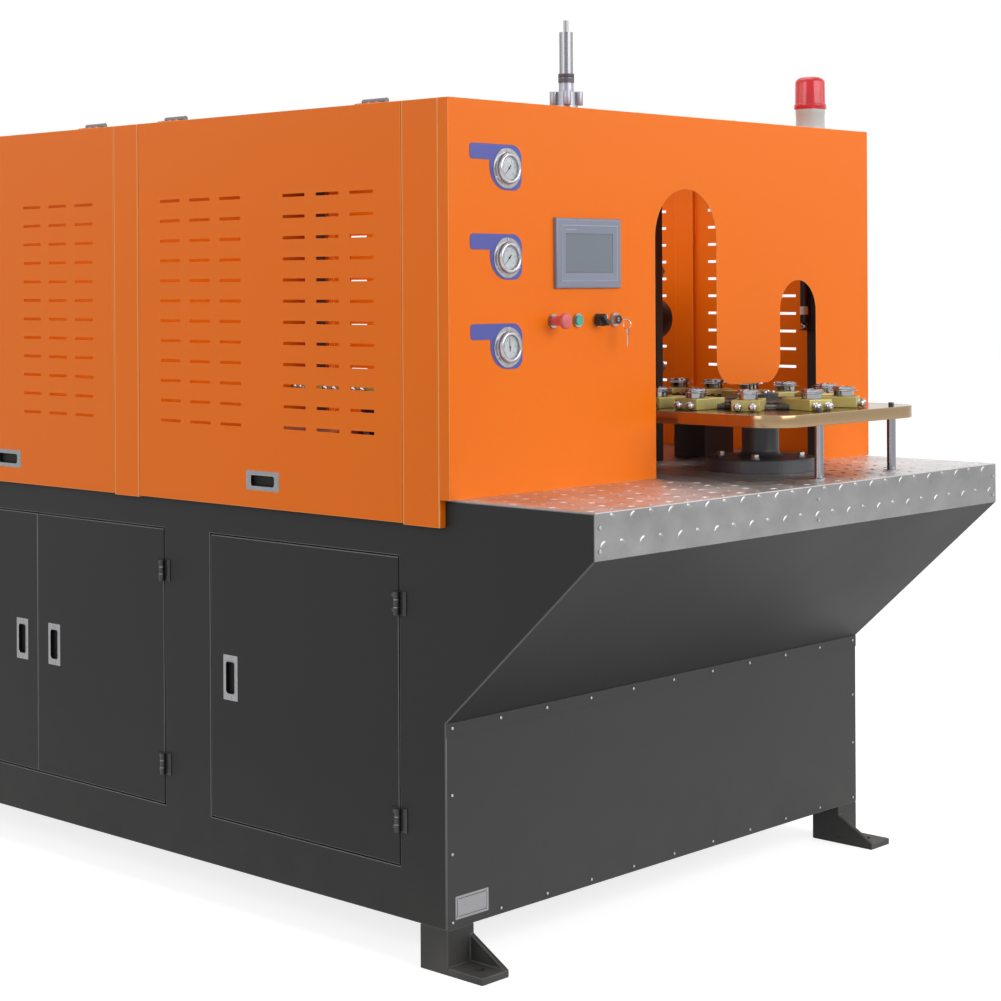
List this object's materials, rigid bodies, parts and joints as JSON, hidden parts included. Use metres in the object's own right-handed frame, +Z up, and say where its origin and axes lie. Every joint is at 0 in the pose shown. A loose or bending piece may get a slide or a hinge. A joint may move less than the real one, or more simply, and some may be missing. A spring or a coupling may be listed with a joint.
{
  "type": "stretch blow moulding machine",
  "caption": "In-line PET stretch blow moulding machine: orange slotted covers on a dark cabinet, front table, two-arched opening, guide plate with neck mandrels, gauges and operator panel",
  "frame": {"origin": "centre of the bounding box on the floor", "axes": "+Z up; front table and operator panel face -Y; the cabinet doors are at -X"},
  "size_m": [1.531, 2.611, 2.067],
  "materials": {
    "orange_paint": "semi-gloss powder coat",
    "dark_paint": "fine-textured satin powder coat",
    "black_paint": "satin",
    "checker_steel": "rolled, with raised studs",
    "machined_steel": "machined",
    "chrome_plate": "polished",
    "cast_black": "blackened and oiled",
    "yellow_plate": "bright yellow zinc plating",
    "yellow_zinc": "yellow zinc plating",
    "mould_aluminium": "milled",
    "grey_plastic": "fine texture",
    "screen_film": "smooth",
    "gauge_glass": "clear",
    "red_plastic": "satin",
    "green_plastic": "translucent",
    "black_plastic": "satin",
    "red_dome": "translucent red",
    "beacon_grey": "satin",
    "lamp_glass": "clear quartz"
  },
  "bodies": {
    "frame": {"base_frame": "dark_paint", "base_left_side": "dark_paint", "base_shell": "dark_paint", "front_cover": "dark_paint", "slope_panel": "dark_paint", "feet": "dark_paint", "bed_plate": "machined_steel", "table_plate": "checker_steel", "front_panel": "orange_paint", "rear_panel": "orange_paint", "roof_panel": "orange_paint", "side_posts": "orange_paint", "inner_frame": "black_paint", "roof_hinges": "beacon_grey", "cabinet_hinges": "black_paint", "electrical_board": "machined_steel", "guide_plate": "yellow_plate", "plate_posts": "chrome_plate", "pedestals": "cast_black", "clamp_plates": "black_paint", "tie_bars": "chrome_plate", "clamp_cylinders": "mould_aluminium", "base_cylinder": "mould_aluminium", "oven_panels": "yellow_zinc", "oven_lamps": "lamp_glass", "gauge_cases": "chrome_plate", "gauge_lenses": "gauge_glass", "screen_case": "grey_plastic", "screen_glass": "screen_film", "control_collars": "chrome_plate", "beacon_base": "beacon_grey", "beacon_dome": "red_dome"},
    "front_wheel": {"front_wheel": "cast_black", "front_carriers": "yellow_zinc", "front_mandrels": "chrome_plate"},
    "right_strand": {"right_carriers": "yellow_zinc"},
    "left_strand": {"left_carriers": "yellow_zinc"},
    "rear_wheel": {"rear_wheel": "yellow_zinc"},
    "left_mould": {"left_mould": "mould_aluminium"},
    "right_mould": {"right_mould": "mould_aluminium"},
    "base_rod": {"base_rod": "chrome_plate"},
    "stop_button": {"stop_button": "red_plastic"},
    "start_button": {"start_button": "green_plastic"},
    "selector_knob": {"selector_knob": "black_plastic"},
    "key_switch": {"key_switch": "chrome_plate"},
    "beacon_rotor": {"beacon_rotor": "chrome_plate"},
    "left_front_lift_door": {"left_front_lift_door": "orange_paint", "left_front_pull": "chrome_plate"},
    "left_rear_lift_door": {"left_rear_lift_door": "orange_paint", "left_rear_pull": "chrome_plate"},
    "right_front_lift_door": {"right_front_lift_door": "orange_paint", "right_front_pull": "chrome_plate"},
    "right_rear_lift_door": {"right_rear_lift_door": "orange_paint", "right_rear_pull": "chrome_plate"},
    "front_cabinet_door": {"front_cabinet_door": "dark_paint", "front_cabinet_door_pull": "chrome_plate"},
    "middle_cabinet_door": {"middle_cabinet_door": "dark_paint", "middle_cabinet_door_pull": "chrome_plate"},
    "rear_cabinet_door": {"rear_cabinet_door": "dark_paint", "rear_cabinet_door_pull": "chrome_plate"}
  },
  "joints": [
    {"name": "carousel_index", "type": "hinge", "parent": "frame", "child": "front_wheel", "pos_m": [0.239, -0.9735, 1.14], "axis": [0, 0, 1], "range_deg": [-28, 17]},
    {"name": "rear_wheel_turn", "type": "hinge", "parent": "frame", "child": "rear_wheel", "pos_m": [0.239, 0.3465, 1.14], "axis": [0, 0, 1], "range_deg": [-28, 17]},
    {"name": "right_strand_run", "type": "slide", "parent": "frame", "child": "right_strand", "axis": [0, 1, 0], "range_m": [-0.0685, 0.0416]},
    {"name": "left_strand_run", "type": "slide", "parent": "frame", "child": "left_strand", "axis": [0, -1, 0], "range_m": [-0.0685, 0.0416]},
    {"name": "mould_close", "type": "slide", "parent": "frame", "child": "left_mould", "axis": [1, 0, 0], "range_m": [0, 0.08]},
    {"name": "right_mould_close", "type": "slide", "parent": "frame", "child": "right_mould", "axis": [-1, 0, 0], "range_m": [0, 0.08]},
    {"name": "base_mould_lift", "type": "slide", "parent": "frame", "child": "base_rod", "axis": [0, 0, 1], "range_m": [0, 0.08]},
    {"name": "stop_press", "type": "slide", "parent": "frame", "child": "stop_button", "axis": [0, 1, 0], "range_m": [0, 0.004]},
    {"name": "start_press", "type": "slide", "parent": "frame", "child": "start_button", "axis": [0, 1, 0], "range_m": [0, 0.003], "stiffness_N_per_m": 300},
    {"name": "selector_turn", "type": "hinge", "parent": "frame", "child": "selector_knob", "pos_m": [-0.3, -0.9285, 1.345], "axis": [0, -1, 0], "range_deg": [0, 90]},
    {"name": "key_turn", "type": "hinge", "parent": "frame", "child": "key_switch", "pos_m": [-0.242, -0.9285, 1.345], "axis": [0, -1, 0], "range_deg": [0, 90]},
    {"name": "beacon_spin", "type": "hinge", "parent": "frame", "child": "beacon_rotor", "pos_m": [0.656, -0.8285, 1.88], "axis": [0, 0, 1], "continuous": true},
    {"name": "left_front_door_lift", "type": "hinge", "parent": "frame", "child": "left_front_lift_door", "pos_m": [-0.734, -0.342, 1.8155], "axis": [0, 1, 0], "range_deg": [0, 85]},
    {"name": "left_rear_door_lift", "type": "hinge", "parent": "frame", "child": "left_rear_lift_door", "pos_m": [-0.734, 0.651, 1.8155], "axis": [0, 1, 0], "range_deg": [0, 85]},
    {"name": "right_front_door_lift", "type": "hinge", "parent": "frame", "child": "right_front_lift_door", "pos_m": [0.734, -0.342, 1.8155], "axis": [0, -1, 0], "range_deg": [0, 85]},
    {"name": "right_rear_door_lift", "type": "hinge", "parent": "frame", "child": "right_rear_lift_door", "pos_m": [0.734, 0.651, 1.8155], "axis": [0, -1, 0], "range_deg": [0, 85]},
    {"name": "front_cabinet_swing", "type": "hinge", "parent": "frame", "child": "front_cabinet_door", "pos_m": [-0.754, -0.759, 0.528], "axis": [0, 0, 1], "range_deg": [0, 110]},
    {"name": "middle_cabinet_swing", "type": "hinge", "parent": "frame", "child": "middle_cabinet_door", "pos_m": [-0.754, 0.036, 0.528], "axis": [0, 0, 1], "range_deg": [0, 110]},
    {"name": "rear_cabinet_swing", "type": "hinge", "parent": "frame", "child": "rear_cabinet_door", "pos_m": [-0.754, 1.063, 0.528], "axis": [0, 0, -1], "range_deg": [0, 110]}
  ],
  "couplings": [
    {"joint": "rear_wheel_turn", "follows": "carousel_index", "ratio": 1},
    {"joint": "right_strand_run", "follows": "carousel_index", "m_per_rad": 0.14006},
    {"joint": "left_strand_run", "follows": "carousel_index", "m_per_rad": 0.14006},
    {"joint": "right_mould_close", "follows": "mould_close", "ratio": 1}
  ]
}
